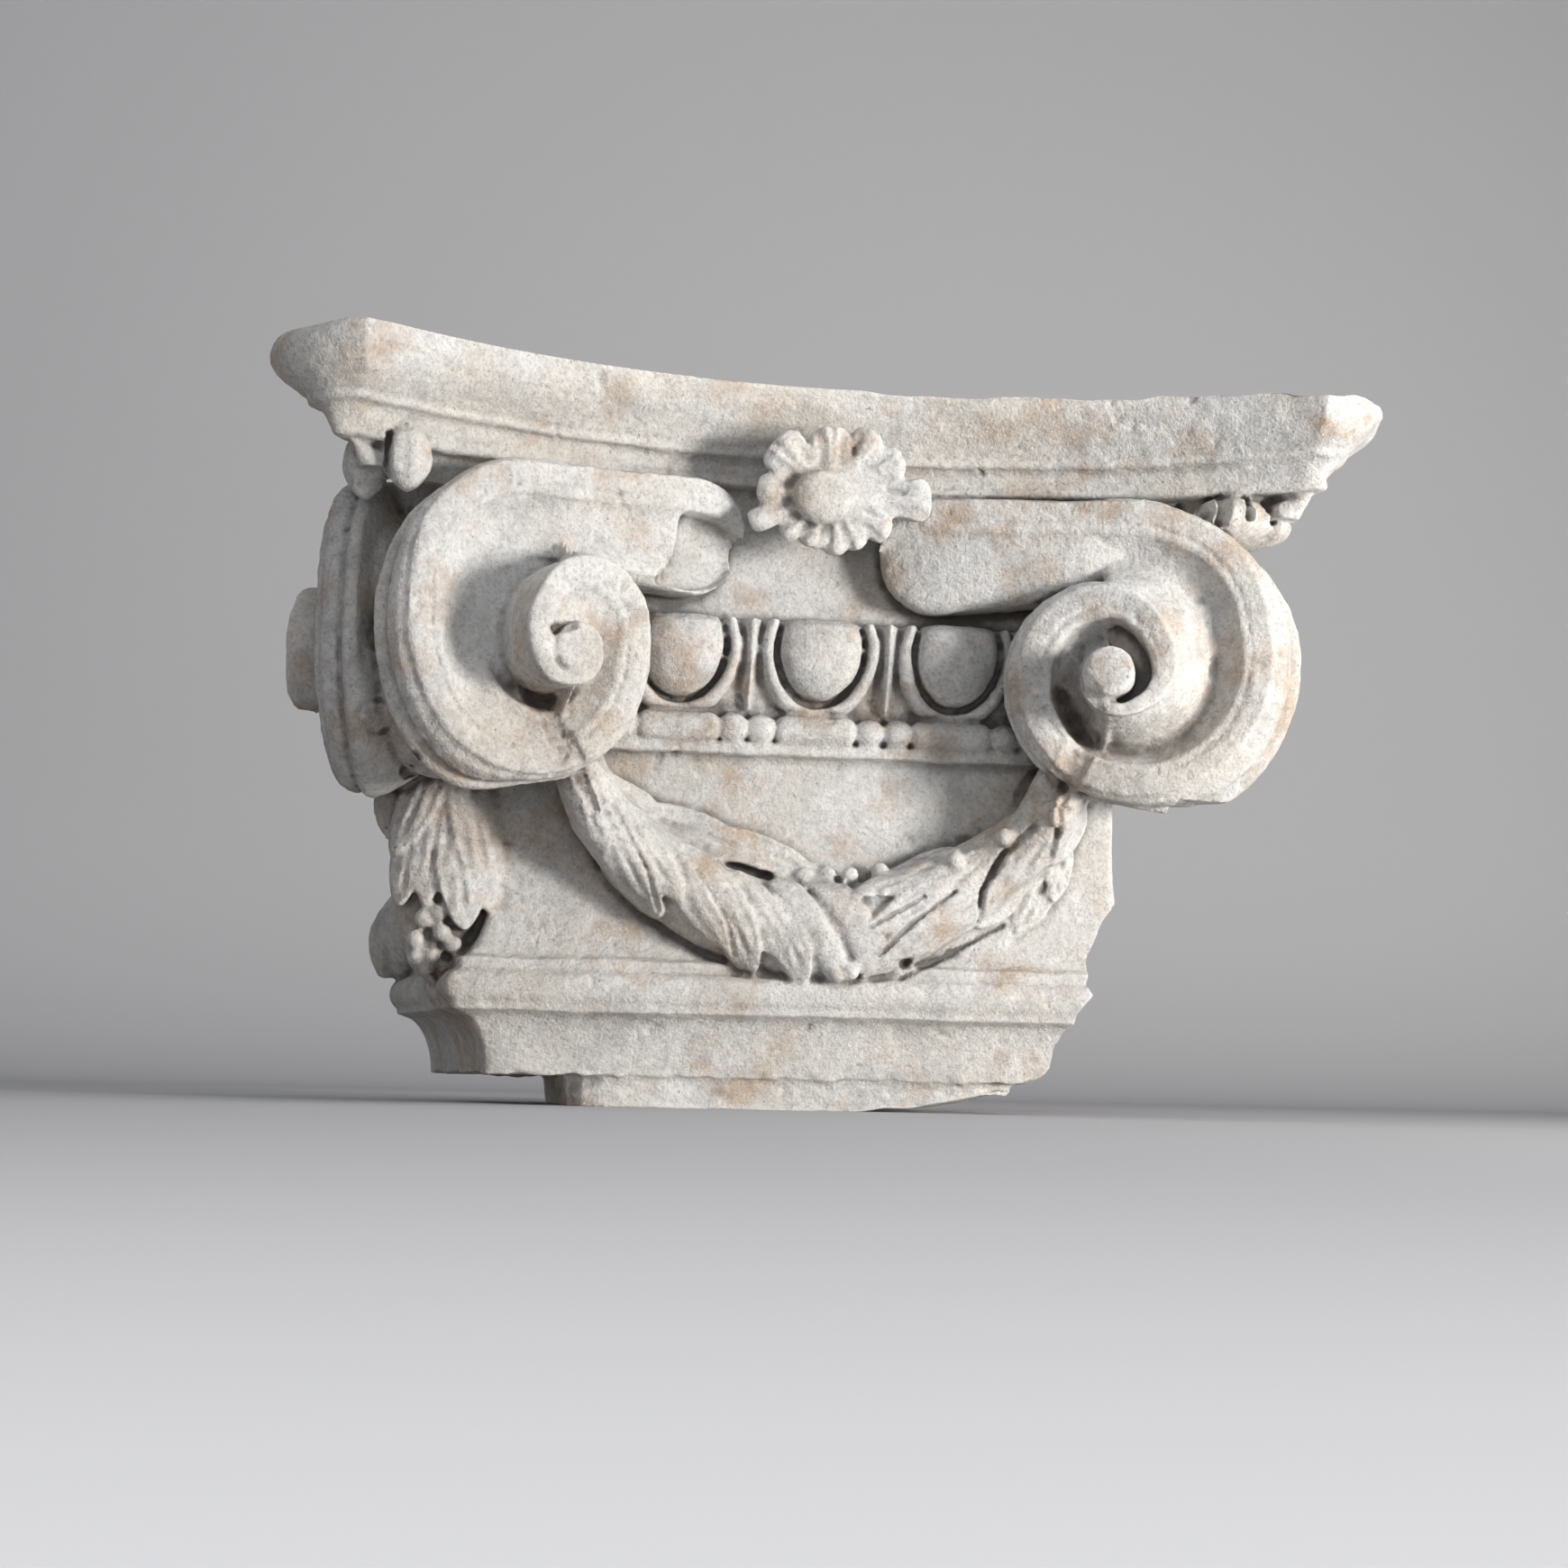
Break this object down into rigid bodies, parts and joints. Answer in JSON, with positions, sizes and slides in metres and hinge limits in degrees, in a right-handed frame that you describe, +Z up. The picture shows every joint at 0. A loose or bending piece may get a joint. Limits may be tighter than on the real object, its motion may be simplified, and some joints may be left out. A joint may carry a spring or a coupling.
{
  "type": "ionic capital",
  "caption": "Half-depth corner-volute capital of weathered marble with a hollow-sided abacus, rosette, egg band and leaf garland, broken along its right flank.",
  "frame": {"origin": "on the capital's axis, in the plane of its underside, at the middle of the underside's depth", "axes": "+Z up along the capital's axis, -Y towards the carved front, +X to the right as one faces the front"},
  "size_m": [0.89, 0.45, 0.585],
  "materials": {
    "marble": "weathered off-white marble with ochre stains and dirt in the hollows, matt"
  },
  "bodies": {
    "root": {"capital": "marble"}
  },
  "joints": []
}
